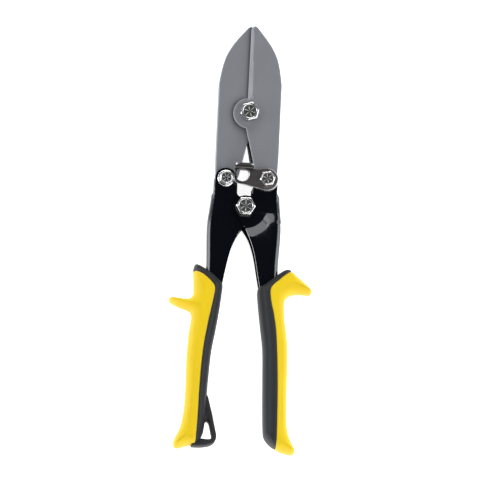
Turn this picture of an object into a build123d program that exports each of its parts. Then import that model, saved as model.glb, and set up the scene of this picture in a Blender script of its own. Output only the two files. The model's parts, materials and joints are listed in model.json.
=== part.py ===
"""Five-blade sheet metal crimper with compound aviation-snip handles.

The tool lies on its back. X runs across it, +Y points to the jaw tips and +Z away from the
surface it rests on. The origin is under the middle of the whole tool, on that surface.
"""
from build123d import *
import os
from math import asin, atan2, cos, degrees, hypot, radians, sin, sqrt

# ------------------------------------------------------------------ driving sizes, in mm
overall_length = 250.0
grip_thickness = 22.0         # the grips are the thickest part and carry the tool

jaw_reach = 51.4              # jaw pivot to blade tip
jaw_drop = 39.8               # jaw pivot down to the two link pivots
link_half_span = 11.8         # link pivots from the centre line
handle_drop = 16.6            # link pivots down to the handle pivot

blade_thickness = 2.0
blade_gap = 0.5
blade_half_width = 18.1
blade_overlap = 1.0           # how far each blade reaches past the centre line
blade_shoulder = 34.0         # length of the rounded nose
ear_radius = 9.0
tail_radius = 5.9
front_tail_lip = 0.4          # how far the front right tail reaches in past its round end
rear_tail_lip = 1.6           # the same for the four blades behind it
bevel_width = 2.8
bevel_depth = 0.9

sheet = 1.6                   # steel of the two handle channels
bend_radius = 2.6             # outside radius of the channel bends
handle_gap = 0.4              # side room between the two handle heads
pivot_ear_radius = 6.9
link_ear_radius = 6.3
web_top = 6.0                 # the web starts this far above the handle pivot
joggle_inner = 12.5
joggle_outer = 17.5
steel_end = 20.0              # the channels stop this far above the grip ends

grip_length = 107.8
grip_edge = 1.2               # slope taken off the rims of the grips
horn_reach = 41.1             # thumb stops from the centre line
eye_thickness = 9.0           # hanging eye on the left grip

pivot_bolt_diameter = 6.0
pivot_hex_flats = 10.0
link_bolt_diameter = 5.0
left_hex_flats = 6.8
left_flange_radius = 4.9
right_hex_flats = 8.0
head_height = 4.0
washer_radius = 5.4
spacer_radius = 4.2

latch_thickness = 1.6
latch_washer_thickness = 0.4
latch_end_radius = 6.6
latch_gap = 1.3               # latch end to the left bolt head
latch_hole_radius = 3.7
latch_tab_height = 5.0
latch_tab_end = 3.6           # inner end of the tab, past the centre line

spring_wire = 1.4
spring_radius = 4.7           # centre line of the coil
spring_leg = 27.0
leg_wire = 1.3                # the legs are drawn a little thinner than the coil
sleeve_radius = 3.75

# ------------------------------------------------------------------ clearances
running_clearance = 0.05      # pins in their holes, radial
free_clearance = 0.25         # jaw pivot in the two left blades, radial
thread_clearance = 0.02
face_clearance = 0.02

# ------------------------------------------------------------------ places that follow
rest_height = grip_thickness / 2      # middle plane of the blades above the surface
tip_y = overall_length / 2
end_y = -overall_length / 2
jaw_pivot = Vector(0, tip_y - jaw_reach)
link_y = jaw_pivot.Y - jaw_drop
left_link = Vector(-link_half_span, link_y)
right_link = Vector(link_half_span, link_y)
handle_pivot = Vector(0, link_y - handle_drop)
grip_top = end_y + grip_length
web_end = handle_pivot.Y + web_top

pitch = blade_thickness + blade_gap
right_levels = [2 * pitch, 0, -2 * pitch]
left_levels = [pitch, -pitch]
pack_half = 2 * pitch + blade_thickness / 2
narrow_outer = pack_half
narrow_inner = narrow_outer - sheet
wide_inner = pack_half + handle_gap
wide_outer = wide_inner + sheet
latch_low = wide_outer + latch_washer_thickness + face_clearance
latch_high = latch_low + latch_thickness

os.makedirs("parts", exist_ok=True)


# ------------------------------------------------------------------ helpers
def mirrored(shape, side):
    """The shape itself for side 1, its mirror image across the centre line for side -1."""
    return shape if side > 0 else mirror(shape, about=Plane.YZ)


def slab(face, low, high):
    """A flat outline made solid between two heights, measured from the middle plane."""
    return extrude(Pos(0, 0, low) * face, amount=high - low)


def disc(centre, radius, low, high):
    """A cylinder about a pivot between two heights."""
    return Pos(centre.X, centre.Y, (low + high) / 2) * Cylinder(radius, high - low)


def ring(centre, radius, bore, low, high):
    """A washer or sleeve about a pivot."""
    return disc(centre, radius, low, high) - disc(centre, bore, low - 1, high + 1)


def ring_pair(centre, radius, bore, inner, outer):
    """Two washers, one on each side of the middle plane, between an inner and an outer face."""
    low = inner + face_clearance
    high = outer - face_clearance
    upper = ring(centre, radius, bore, low, high)
    return Compound([upper, ring(centre, radius, bore, -high, -low)])


def hexagon(centre, flats, turn, low, high):
    """A hexagonal block with its outer corners taken off at the top."""
    corner = flats / sqrt(3)
    block = slab(RegularPolygon(corner, 6), low, high)
    crown = Pos(0, 0, (low + high) / 2) * Cylinder(corner + 0.01, high - low)
    crown = chamfer(crown.edges().sort_by(Axis.Z)[-1], length=0.35, length2=0.7)
    return Pos(centre.X, centre.Y) * Rot(0, 0, turn) * (block & crown)


def hex_bolt(centre, flats, turn, shank, seat, top, bottom, flange=0.0):
    """A bolt with a dished head that carries six radial ribs, and a plain shank."""
    dish = flats / 2 - 0.75
    low = seat + (1.2 if flange else 0.0)
    head = hexagon(centre, flats, turn, low, top)
    head -= disc(centre, dish, top - 1.0, top + 1)
    for rib in range(6):
        arm = Pos(dish * 0.62, 0, top - 0.65) * Box(dish * 0.85, 0.55, 0.7)
        head += Pos(centre.X, centre.Y) * Rot(0, 0, turn + 60 * rib) * arm
    if flange:
        head += disc(centre, flange, seat, low)
    return head + disc(centre, shank, bottom, seat + 0.01)


def hex_nut(centre, flats, turn, bore, seat, bottom):
    """A nut under the tool, its chamfered side away from the seat."""
    upright = hexagon(centre, flats, turn, bottom, seat)
    body = Pos(0, 0, seat + bottom) * mirror(upright, about=Plane.XY)
    return body - disc(centre, bore, bottom - 1, seat + 1)


def write(name, shape):
    """Lift a sub-part onto its resting plane and write it."""
    placed = Pos(0, 0, rest_height) * shape
    placed.label = name
    export_step(placed, f"parts/{name}.step")


# ------------------------------------------------------------------ blades
def blade_face(lip):
    """One blade seen from the front, with its nose up and its tail on the right link pivot."""
    shoulder = Vector(blade_half_width, tip_y - blade_shoulder)
    nose_side = Vector(3.4, tip_y - 2.0)
    nose_mid = Vector(1.3, tip_y)
    nose_in = Vector(-blade_overlap, tip_y - 1.7)
    ear = Vector(-0.3, jaw_pivot.Y - 0.5)
    ear_top = Vector(-blade_overlap - 0.2, ear.Y + ear_radius)
    ear_side = Vector(ear.X - ear_radius, ear.Y)
    ear_low = Vector(-1.6, ear.Y - ear_radius)
    tail_in = Vector(right_link.X - tail_radius - lip, right_link.Y + 2.4)
    tail_low = Vector(right_link.X, right_link.Y - tail_radius)
    tail_out = Vector(right_link.X + tail_radius, right_link.Y)
    hip = Vector(blade_half_width, right_link.Y + 14.0)
    edge = [
        Line(tail_out, hip),
        Line(hip, shoulder),
        Spline(shoulder, Vector(16.6, tip_y - 25.0), Vector(14.7, tip_y - 18.2),
               Vector(11.6, tip_y - 12.2), Vector(8.2, tip_y - 7.6), nose_side),
        ThreePointArc(nose_side, nose_mid, nose_in),
        Line(nose_in, ear_top),
        ThreePointArc(ear_top, ear_side, ear_low),
        Line(ear_low, tail_in),
        ThreePointArc(tail_in, right_link + Vector(-0.7, -0.7) * tail_radius, tail_low),
        ThreePointArc(tail_low, right_link + Vector(0.7071, -0.7071) * tail_radius, tail_out),
    ]
    return make_face(edge)


def bevel_wedge(face_z):
    """The wedge that takes the corner off a blade's meeting edge, narrower towards the tip."""
    sections = []
    for y, share in ((jaw_pivot.Y + ear_radius, 1.0), (tip_y + 1.0, 0.4)):
        edge_x = -blade_overlap - 0.5
        deep = bevel_depth * share + 0.2
        corner = Polyline(
            (edge_x, y, face_z - deep),
            (-blade_overlap + bevel_width * share, y, face_z),
            (edge_x, y, face_z + 1.0),
            close=True,
        )
        sections.append(make_face(corner))
    return loft(sections)


def blade(side, level, pivot_clearance, lip):
    """A blade with its two pivot holes, on one side of the tool and at one level."""
    low = level - blade_thickness / 2
    high = level + blade_thickness / 2
    body = slab(blade_face(lip), low, high)
    body -= disc(jaw_pivot, pivot_bolt_diameter / 2 + pivot_clearance, low - 1, high + 1)
    body -= disc(right_link, link_bolt_diameter / 2 + running_clearance, low - 1, high + 1)
    return mirrored(body, side)


right_front_blade = blade(1, right_levels[0], running_clearance, front_tail_lip)
right_front_blade -= bevel_wedge(pack_half)
right_middle_blade = blade(1, right_levels[1], running_clearance, rear_tail_lip)
right_back_blade = blade(1, right_levels[2], running_clearance, rear_tail_lip)
right_back_blade -= mirror(bevel_wedge(pack_half), about=Plane.XY)
left_front_blade = blade(-1, left_levels[0], free_clearance, rear_tail_lip)
left_back_blade = blade(-1, left_levels[1], free_clearance, rear_tail_lip)

write("right_jaw_front_blade", right_front_blade)
write("right_jaw_middle_blade", right_middle_blade)
write("right_jaw_back_blade", right_back_blade)
write("left_jaw_front_blade", left_front_blade)
write("left_jaw_back_blade", left_back_blade)

# washers between the blades on the jaw pivot
blade_washers = []
for gap in (-1.5, -0.5, 0.5, 1.5):
    middle = gap * pitch
    half = blade_gap / 2 - face_clearance
    bore = pivot_bolt_diameter / 2 + running_clearance
    blade_washers.append(ring(jaw_pivot, washer_radius, bore, middle - half, middle + half))
write("jaw_pivot_washers", Compound(blade_washers))

# spacers that keep the tails apart on the link bolts
link_bore = link_bolt_diameter / 2 + running_clearance
tail_gap = pitch - blade_thickness / 2
inner = blade_thickness / 2
right_spacers = ring_pair(right_link, spacer_radius, link_bore, inner, inner + 2 * tail_gap)
write("right_tail_spacers", right_spacers)
spacer_half = tail_gap - face_clearance
write("left_tail_spacer", ring(left_link, spacer_radius, link_bore, -spacer_half, spacer_half))
left_outer = pitch + blade_thickness / 2
left_washers = ring_pair(left_link, spacer_radius, link_bore, left_outer, narrow_inner)
right_washers = ring_pair(right_link, spacer_radius, link_bore, pack_half, wide_inner)
write("left_tail_washers", left_washers)
write("right_tail_washers", right_washers)


# ------------------------------------------------------------------ handle channels
def web_points(shift):
    """Points down the outside of a right-hand web, moved inwards by shift."""
    pivot = handle_pivot.Y
    upper = right_link.X + 8.0 - shift
    above = right_link.Y + link_ear_radius + 3.0
    return [
        Vector(upper + (above - web_end) / 4, above),
        Vector(upper, web_end),
        Vector(upper + 1.5, pivot - 9.0),
        Vector(upper + 1.5, pivot - 20.0),
        Vector(20.8 - shift, grip_top + 2.0),
        Vector(22.3 - shift, grip_top - 26.0),
        Vector(25.6 - shift, grip_top - 60.0),
        Vector(26.2 - shift, end_y + steel_end - 5.0),
    ]


def inner_points(crotch_x):
    """Points up the open edge of a right-hand channel, from its end to the crotch."""
    pivot = handle_pivot.Y
    return [
        Vector(19.4, end_y + steel_end),
        Vector(18.0, grip_top - 60.0),
        Vector(13.6, grip_top - 26.0),
        Vector(crotch_x + 8.4, grip_top - 3.0),
        Vector(crotch_x + 5.6, pivot - 24.5),
        Vector(crotch_x + 0.6, pivot - 13.0),
    ]


def plate_face(crotch_x, arm_x):
    """The side plate of a right-hand channel, left too wide on its web side."""
    inner = inner_points(crotch_x)
    wide = horn_reach
    neck = Vector(right_link.X + link_ear_radius, web_end + 3.0)
    ear_out = Vector(right_link.X + link_ear_radius, right_link.Y)
    ear_top = Vector(right_link.X, right_link.Y + link_ear_radius)
    ear_in = Vector(right_link.X - link_ear_radius, right_link.Y)
    arm_top = Vector(arm_x, right_link.Y - 4.2)
    arm_low = Vector(arm_x, handle_pivot.Y + 8.6)
    radius = pivot_ear_radius
    ear_start = handle_pivot + Vector(cos(radians(75)), sin(radians(75))) * radius
    ear_end = handle_pivot + Vector(cos(radians(232)), sin(radians(232))) * radius
    edge = [
        Polyline(neck, (wide, neck.Y - (wide - neck.X) * 1.5), (wide, inner[0].Y), inner[0]),
        Spline(inner),
        Line(inner[-1], ear_end),
        ThreePointArc(ear_end, handle_pivot + Vector(-radius, 0), ear_start),
        ThreePointArc(ear_start, Vector(arm_x - 0.6, handle_pivot.Y + 7.2), arm_low),
        Line(arm_low, arm_top),
        Line(arm_top, ear_in),
        ThreePointArc(ear_in, right_link + Vector(-0.7071, 0.7071) * link_ear_radius, ear_top),
        ThreePointArc(ear_top, right_link + Vector(0.7071, 0.7071) * link_ear_radius, ear_out),
        Line(ear_out, neck),
    ]
    return make_face(edge)


def bent_block(shift, depth, radius):
    """A block whose outer side follows the web and rolls over to both sides with a bend."""
    web = web_points(shift)
    far = -2 * horn_reach
    face = make_face([Spline(web), Polyline(web[-1], (far, web[-1].Y), (far, web[0].Y), web[0])])
    block = slab(face, -depth, depth)
    bends = [e for e in block.edges() if e.length > overall_length / 3 and e.center().X > 0]
    rolled = [e for e in bends if e.geom_type == GeomType.BSPLINE]
    return fillet(rolled, radius)


def channel_block(crotch_x, arm_x, depth):
    """The filled outer shape of a channel, with its bends rounded."""
    return bent_block(0, depth, bend_radius) & slab(plate_face(crotch_x, arm_x), -depth, depth)


def channel_hollow(depth):
    """The space inside a channel, open on its inner side and above the web."""
    head_space = Pos(0, web_end + 10.0 + tip_y / 2, 0) * Box(4 * horn_reach, tip_y, 2 * depth)
    return bent_block(sheet, depth, bend_radius - sheet) + head_space


def head_zone(half, base):
    """Where the right channel is wide: a dished disc about the handle pivot and all above it."""
    profile = Polyline(
        (0, -half), (joggle_inner, -half), (joggle_outer, -base),
        (joggle_outer, base), (joggle_inner, half), (0, half), close=True,
    )
    bowl = revolve(make_face(Plane.XZ * profile), axis=Axis.Z)
    ramp_top = handle_pivot.Y - 2.6
    ramp_low = ramp_top - (joggle_outer - joggle_inner)
    side = Polyline(
        (ramp_low, -base), (ramp_top, -half), (tip_y, -half),
        (tip_y, half), (ramp_top, half), (ramp_low, base), close=True,
    )
    ramp = extrude(make_face(Plane.YZ * side), amount=2 * horn_reach)
    return Pos(handle_pivot.X, handle_pivot.Y) * bowl + ramp


def bored(frame, half):
    """A handle with its pivot hole and link hole right through."""
    frame -= disc(handle_pivot, pivot_bolt_diameter / 2 + running_clearance, -half - 1, half + 1)
    return frame - disc(right_link, link_bolt_diameter / 2 + running_clearance, -half - 1, half + 1)


narrow_left = channel_block(1.4, 5.0, narrow_outer) - channel_hollow(narrow_inner)
left_frame = mirrored(bored(narrow_left, narrow_outer), -1)
write("left_handle_frame", left_frame)

wide_head = channel_block(0.4, 3.9, wide_outer) & head_zone(wide_outer, narrow_outer)
wide_space = channel_hollow(wide_inner) & head_zone(wide_inner, narrow_inner)
right_outside = channel_block(0.4, 3.9, narrow_outer) + wide_head
right_inside = channel_hollow(narrow_inner) + wide_space
right_frame = bored(right_outside - right_inside, wide_outer)
write("right_handle_frame", right_frame)


# ------------------------------------------------------------------ grips
def left_grip_face():
    """The left grip seen from the front, without its hanging eye."""
    top = grip_top
    low = end_y
    neck = Vector(-26.6, top)
    throat = Vector(-10.6, top - 12.0)
    heel = Vector(-22.4, low + 1.5)
    toe = Vector(-33.0, low)
    horn = Vector(-horn_reach, top - 21.0)
    under = Vector(-27.7, top - 29.5)
    over = Vector(-27.2, top - 17.5)
    edge = [
        Spline(neck, Vector(-18.6, top - 3.6), throat, tangents=[(1, 0.1), (-0.05, -1)]),
        Spline(throat, Vector(-13.4, top - 38.4), Vector(-16.2, top - 62.0),
               Vector(-17.0, low + 20.0), heel),
        Spline(heel, Vector(-28.0, low + 1.6), toe),
        Spline(toe, Vector(-34.8, low + 3.0), Vector(-31.3, low + 12.5),
               Vector(-29.2, low + 30.0), Vector(-28.9, top - 42.0), under),
        Spline(under, Vector(-29.2, top - 26.8), Vector(-37.5, top - 23.8), horn),
        Spline(horn, Vector(-38.5, top - 20.1), Vector(-31.0, top - 20.4), over),
        Spline(over, Vector(-27.9, top - 4.5), neck),
    ]
    return make_face(edge)


def left_split_face():
    """Everything on the outer side of the line where the left cover meets the left core."""
    top = grip_top
    low = end_y
    start = Vector(-30.0, top - 3.2)
    finish = Vector(-24.5, low - 3.0)
    far = -2 * horn_reach
    line = Spline(
        start, Vector(-22.0, top - 7.2), Vector(-16.2, top - 12.6), Vector(-16.4, top - 23.0),
        Vector(-19.6, top - 42.7), Vector(-21.6, top - 65.0), Vector(-22.3, low + 15.0), finish,
    )
    return make_face([line, Polyline(finish, (far, finish.Y), (far, start.Y), start)])


def right_grip_face():
    """The right grip seen from the front."""
    top = grip_top
    low = end_y
    crown = Vector(26.6, top)
    throat = Vector(9.8, top - 13.0)
    toe = Vector(34.0, low)
    horn = Vector(horn_reach, top - 11.8)
    under = Vector(25.5, top - 21.5)
    edge = [
        Spline(throat, Vector(10.6, top - 10.6), Vector(17.2, top - 6.2), crown,
               tangents=[(0.1, 1), (1, 0.25)]),
        Spline(crown, Vector(32.5, top - 4.1), horn, tangents=[(1, -0.15), (0.6, -1)]),
        Spline(horn, Vector(38.6, top - 13.5), Vector(28.9, top - 14.3), under),
        Spline(under, Vector(28.0, top - 41.7), Vector(29.0, top - 70.0),
               Vector(30.0, low + 15.6), Vector(35.2, low + 2.2), toe),
        Spline(toe, Vector(27.7, low + 1.3), Vector(20.2, low + 5.4), Vector(16.8, low + 11.5),
               Vector(15.2, top - 70.0), Vector(12.5, top - 35.4), throat),
    ]
    return make_face(edge)


def right_split_face():
    """Everything on the outer side of the line where the right cover meets the right core."""
    top = grip_top
    low = end_y
    start = Vector(31.5, top + 1.0)
    finish = Vector(23.9, low - 3.0)
    far = 2 * horn_reach
    line = Spline(
        start, Vector(24.2, top - 5.0), Vector(17.4, top - 12.0), Vector(17.6, top - 22.0),
        Vector(21.3, top - 42.7), Vector(23.0, top - 70.0), Vector(23.9, low + 10.0), finish,
    )
    return make_face([line, Polyline(finish, (far, finish.Y), (far, start.Y), start)])


def grip_halves(outline, split, frame):
    """The core and the cover of one grip, moulded round its channel."""
    half = grip_thickness / 2
    body = slab(outline, -half, half)
    rims = body.edges().filter_by_position(Axis.Z, half - 0.01, half + 0.01)
    rims += body.edges().filter_by_position(Axis.Z, -half - 0.01, 0.01 - half)
    body = chamfer(rims, grip_edge)
    body -= frame
    outside = slab(split, -half - 1, half + 1)
    return body - outside, body & outside


left_core, left_cover = grip_halves(left_grip_face(), left_split_face(), left_frame)
right_core, right_cover = grip_halves(right_grip_face(), right_split_face(), right_frame)


def eye_face():
    """The hanging eye that grows out of the inner side of the left grip's end."""
    low = end_y
    root = Vector(-17.5, low + 34.0)
    corner = Vector(-10.2, low + 7.0)
    base = Vector(-23.5, low + 1.9)
    edge = [
        Line(Vector(-19.0, low + 36.0), root),
        Spline(root, Vector(-14.8, low + 26.5), corner),
        Spline(corner, Vector(-13.0, low + 2.7), base, tangents=[(0.1, -1), (-1, 0.1)]),
        Line(base, Vector(-19.0, low + 36.0)),
    ]
    hole = Spline(
        Vector(-16.4, low + 16.4), Vector(-14.5, low + 14.3),
        Vector(-12.9, low + 7.8), Vector(-14.6, low + 5.9),
        Vector(-19.0, low + 6.1), Vector(-18.0, low + 9.8), Vector(-17.4, low + 15.2), periodic=True,
    )
    return make_face(edge) - make_face(hole)


eye = slab(eye_face(), -eye_thickness / 2, eye_thickness / 2)
eye = eye - slab(left_split_face(), -eye_thickness, eye_thickness) - left_frame
left_core = left_core + eye

write("left_grip_core", left_core)
write("left_grip_cover", left_cover)
write("right_grip_core", right_core)
write("right_grip_cover", right_cover)


# ------------------------------------------------------------------ latch
def latch_solid():
    """A strut plate on the right link bolt, with a round hole and an upturned thumb tab."""
    end_x = left_link.X + left_hex_flats / 2 + latch_gap
    tab_x = latch_tab_end
    y = right_link.Y
    radius = latch_end_radius
    low_side = right_link + Vector(cos(radians(255)), sin(radians(255))) * radius
    top_side = right_link + Vector(0, radius)
    corner_top = Vector(end_x, y - 1.6)
    corner_end = Vector(end_x + 1.3, y - 2.9)
    edge = [
        Line(Vector(end_x, y + 8.4), corner_top),
        ThreePointArc(corner_top, Vector(end_x + 0.4, y - 2.5), corner_end),
        Spline(corner_end, Vector(1.0, y - 4.3), low_side),
        ThreePointArc(low_side, right_link + Vector(radius, 0), top_side),
        Spline(top_side, Vector(tab_x + 3.0, y + 6.0), Vector(tab_x + 0.6, y + 6.4), Vector(tab_x, y + 8.0)),
        Line(Vector(tab_x, y + 8.0), Vector(end_x, y + 8.4)),
    ]
    plate = slab(make_face(edge), latch_low, latch_high)
    hole = Vector(-2.7, y + 1.9)
    plate -= disc(hole, latch_hole_radius, latch_low - 1, latch_high + 1)
    plate -= disc(right_link, link_bolt_diameter / 2 + running_clearance, latch_low - 1, latch_high + 1)
    middle = (end_x + tab_x) / 2
    tab = Pos(middle, y + 8.2 - latch_thickness / 2, latch_high + latch_tab_height / 2)
    tab *= Box(tab_x - end_x, latch_thickness, latch_tab_height)
    corners = tab.edges().filter_by(Axis.Y).group_by(Axis.Z)[-1]
    return plate + fillet(corners, 2.0)


write("latch", latch_solid())
washer_top = latch_low - face_clearance
write("latch_washer", ring(right_link, washer_radius, link_bore, wide_outer, washer_top))

# ------------------------------------------------------------------ bolts, nuts and sleeve
pivot_shank = pivot_bolt_diameter / 2
link_shank = link_bolt_diameter / 2
bottom = -rest_height
jaw_top = pack_half + head_height + 0.2
handle_top = wide_outer + head_height
left_top = narrow_outer + head_height + 0.4
right_seat = latch_high + face_clearance
right_top = right_seat + head_height - 0.2
flange = left_flange_radius
# name, place, flats, turn, shank radius, seat, top, flange radius
bolts = [
    ("jaw_pivot_bolt", jaw_pivot, pivot_hex_flats, 17, pivot_shank, pack_half, jaw_top, 0),
    ("handle_pivot_bolt", handle_pivot, pivot_hex_flats, 0, pivot_shank, wide_outer, handle_top, 0),
    ("left_link_bolt", left_link, left_hex_flats, 30, link_shank, narrow_outer, left_top, flange),
    ("right_link_bolt", right_link, right_hex_flats, 12, link_shank, right_seat, right_top, 0),
]
for name, place, flats, turn, shank, seat, top, flange_radius in bolts:
    write(name, hex_bolt(place, flats, turn, shank, seat, top, bottom, flange_radius))

# name, place, flats, turn, shank radius, seat
nuts = [
    ("jaw_pivot_nut", jaw_pivot, pivot_hex_flats, 8, pivot_shank, -pack_half),
    ("handle_pivot_nut", handle_pivot, pivot_hex_flats, 24, pivot_shank, -wide_outer),
    ("left_link_nut", left_link, right_hex_flats, 5, link_shank, -narrow_outer),
    ("right_link_nut", right_link, right_hex_flats, 19, link_shank, -wide_outer),
]
for name, place, flats, turn, shank, seat in nuts:
    write(name, hex_nut(place, flats, turn, shank + thread_clearance, seat, bottom))

sleeve_half = narrow_inner - face_clearance
pivot_bore = pivot_shank + running_clearance
sleeve = ring(handle_pivot, sleeve_radius, pivot_bore, -sleeve_half, sleeve_half)
write("handle_pivot_sleeve", sleeve)
side_washers = ring_pair(handle_pivot, washer_radius, pivot_bore, narrow_outer, wide_inner)
write("handle_pivot_washers", side_washers)


# ------------------------------------------------------------------ return spring
def torsion_spring():
    """A coil round the pivot sleeve whose two legs press outwards in the two channels."""
    leg_end_x = right_link.X + 6.0
    lean = degrees(asin(leg_end_x / hypot(spring_radius, spring_leg)) - atan2(spring_radius, spring_leg))
    turns = 3 + (180 - 2 * lean) / 360
    height = 2 * (narrow_inner - spring_wire / 2 - 0.3)
    coil_path = Helix(pitch=height / turns, height=height, radius=spring_radius, lefthand=True)
    section = Plane(origin=coil_path @ 0, z_dir=coil_path % 0) * Circle(spring_wire / 2)
    coil = sweep(section, path=coil_path, is_frenet=True)
    spring = Pos(0, 0, -height / 2) * Rot(0, 0, 180 - lean) * coil
    for side in (-1, 1):
        foot = Vector(side * cos(radians(lean)), sin(radians(lean)), 0) * spring_radius
        foot += Vector(0, 0, side * height / 2)
        way = Vector(side * sin(radians(lean)), -cos(radians(lean)), 0)
        start = Plane(origin=foot - way * 0.8, z_dir=way)
        spring = spring.fuse(extrude(start * Circle(leg_wire / 2), amount=spring_leg))
    return Pos(handle_pivot.X, handle_pivot.Y) * spring


write("return_spring", torsion_spring())
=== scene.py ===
# %% [markdown]
# # A sheet metal crimper with aviation-snip handles
#
# The tool has five thin steel blades, two stamped steel handles under glossy enamel, two grips
# moulded in two colours, and nickel-plated bolts. The measured model is loaded first, and every
# visible piece is then made round it, in metres, in the same place.

# %% Load the measured model
import json
import math
import bmesh
import bpy
import numpy as np
from mathutils import Matrix, Vector


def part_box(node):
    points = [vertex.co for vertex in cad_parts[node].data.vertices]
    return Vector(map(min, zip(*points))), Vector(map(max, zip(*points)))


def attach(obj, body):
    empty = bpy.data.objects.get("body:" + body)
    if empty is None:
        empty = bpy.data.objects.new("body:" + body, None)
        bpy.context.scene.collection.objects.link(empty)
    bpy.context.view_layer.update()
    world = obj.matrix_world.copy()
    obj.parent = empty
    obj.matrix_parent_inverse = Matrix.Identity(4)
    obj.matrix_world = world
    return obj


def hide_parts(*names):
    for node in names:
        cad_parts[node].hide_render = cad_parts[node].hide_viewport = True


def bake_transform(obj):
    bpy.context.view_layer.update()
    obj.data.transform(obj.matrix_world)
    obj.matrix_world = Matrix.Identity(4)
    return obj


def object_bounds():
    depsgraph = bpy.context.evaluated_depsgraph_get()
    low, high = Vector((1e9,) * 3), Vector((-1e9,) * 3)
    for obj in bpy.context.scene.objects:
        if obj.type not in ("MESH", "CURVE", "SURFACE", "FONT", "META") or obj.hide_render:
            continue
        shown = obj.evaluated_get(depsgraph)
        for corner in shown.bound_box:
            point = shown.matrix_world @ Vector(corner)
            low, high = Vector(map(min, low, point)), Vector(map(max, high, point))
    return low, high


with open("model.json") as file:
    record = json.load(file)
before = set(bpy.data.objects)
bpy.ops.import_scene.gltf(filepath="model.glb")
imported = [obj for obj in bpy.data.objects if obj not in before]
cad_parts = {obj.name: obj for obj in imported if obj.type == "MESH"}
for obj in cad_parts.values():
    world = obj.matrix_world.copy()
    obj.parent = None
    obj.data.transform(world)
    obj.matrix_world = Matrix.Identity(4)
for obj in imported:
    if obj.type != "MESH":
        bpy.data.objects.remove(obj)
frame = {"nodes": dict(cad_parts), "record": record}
cad_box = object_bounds()
nodes = frame["nodes"]
bodies = frame["record"]["behaviour"]["bodies"]
joints = {joint["name"]: Vector(joint["pos_m"]) for joint in frame["record"]["behaviour"]["joints"]}
print("bodies:", {body: len(members) for body, members in bodies.items()})

# %% [markdown]
# ## Measures that several pieces share
#
# Lengths are in millimetres except MIDDLE, and every place comes from the measured joints and
# box. MIDDLE is the height of the plane through the middle of the blades, in metres.

# %% Shared measures
MM = 0.001
MIDDLE = joints["handle_pivot"].z
MIDDLE_MM = MIDDLE / MM
TIP = cad_box[1].y / MM
LINK = (joints["right_jaw_link"].x / MM, joints["right_jaw_link"].y / MM)
HANDLE = (joints["handle_pivot"].x / MM, joints["handle_pivot"].y / MM)
JAW_ABOVE_LINK = 39.8
JAW = (0.0, LINK[1] + JAW_ABOVE_LINK)
EAR = (-0.3, JAW[1] - 0.5)
EAR_RADIUS = 9.0
print("link pivots at", LINK, "jaw pivot at", JAW)

# %% [markdown]
# ## The camera
#
# The tool lies on its back and is looked at almost straight down, from a little towards the
# grips. A long lens from far away keeps both ends the same size. The camera is built from three
# directions: right, up and back. Two small leans tip it towards the grips and to one side, and a
# roll turns the picture about the line of sight.

# %% Camera
LEAN_BACK = math.asin(0.208)
LEAN_SIDE = 0.0698
ROLL = math.radians(2.65)
PICTURE_WIDTH = 0.277
DISTANCE = 6.0
AIM = Vector((-0.00165, -0.00073, MIDDLE))
SENSOR = 36.0


def camera_axes():
    """Right, up and back directions: two leans, then a roll about the line of sight."""
    right = Vector((1, 0, LEAN_SIDE)).normalized()
    up = Vector((0, math.cos(LEAN_BACK), math.sin(LEAN_BACK)))
    back = right.cross(up).normalized()
    up = back.cross(right)
    rolled_right = right * math.cos(ROLL) + up * math.sin(ROLL)
    rolled_up = up * math.cos(ROLL) - right * math.sin(ROLL)
    return rolled_right, rolled_up, back


def add_camera():
    """A long lens far away, so that the picture is PICTURE_WIDTH wide at the aim point."""
    right, up, back = camera_axes()
    data = bpy.data.cameras.new("camera")
    data.sensor_width = SENSOR
    data.lens = SENSOR * DISTANCE / PICTURE_WIDTH
    camera = bpy.data.objects.new("camera", data)
    bpy.context.collection.objects.link(camera)
    camera.rotation_mode = "QUATERNION"
    camera.rotation_quaternion = Matrix((right, up, back)).transposed().to_quaternion()
    camera.location = AIM + back * DISTANCE
    bpy.context.scene.camera = camera
    return camera


camera = add_camera()
print("lens", round(camera.data.lens), "mm at", DISTANCE, "m")

# %% [markdown]
# ## Floor and lights
#
# Shiny enamel and nickel show what surrounds them. Four large soft panels stand round the tool,
# so that long highlights run along the bends, and the studio is dark overhead, so that the flat
# enamel stays black. The floor is plain white paper that glows a little, which keeps the
# shadows on it faint.

# %% Floor and lights
FLOOR_LEVEL = -0.00005
HORIZON_STRENGTH = 0.42
ZENITH_STRENGTH = 0.015
PANELS = [
    ("key_panel", (0.62, -0.62, 1.2), (1.0, 1.0), 7, (0.95, 0.97, 1.0)),
    ("left_panel", (-1.15, 0.1, 0.75), (0.6, 1.4), 10, (0.88, 0.93, 1.0)),
    ("right_panel", (1.15, 0.1, 0.75), (0.6, 1.4), 8, (0.88, 0.93, 1.0)),
    ("back_panel", (0.0, 1.25, 0.7), (1.2, 0.5), 8.5, (1.0, 1.0, 1.0)),
    ("front_panel", (0.0, -1.3, 0.75), (1.2, 0.5), 4, (1.0, 1.0, 1.0)),
]


def add_floor():
    """A flat grid of square faces, a hair under the tool."""
    count = 25
    across, along = np.meshgrid(np.linspace(-3, 3, count), np.linspace(-3, 3, count), indexing="ij")
    points = np.stack([across, along, np.full_like(across, FLOOR_LEVEL)], axis=-1).reshape(-1, 3)
    mesh = bpy.data.meshes.new("floor")
    corner = (np.arange(count - 1)[:, None] * count + np.arange(count - 1)[None, :]).reshape(-1)
    faces = np.stack([corner, corner + count, corner + count + 1, corner + 1], axis=1)
    mesh.from_pydata(points.tolist(), [], faces.tolist())
    floor = bpy.data.objects.new("floor", mesh)
    bpy.context.collection.objects.link(floor)
    return floor


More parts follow.
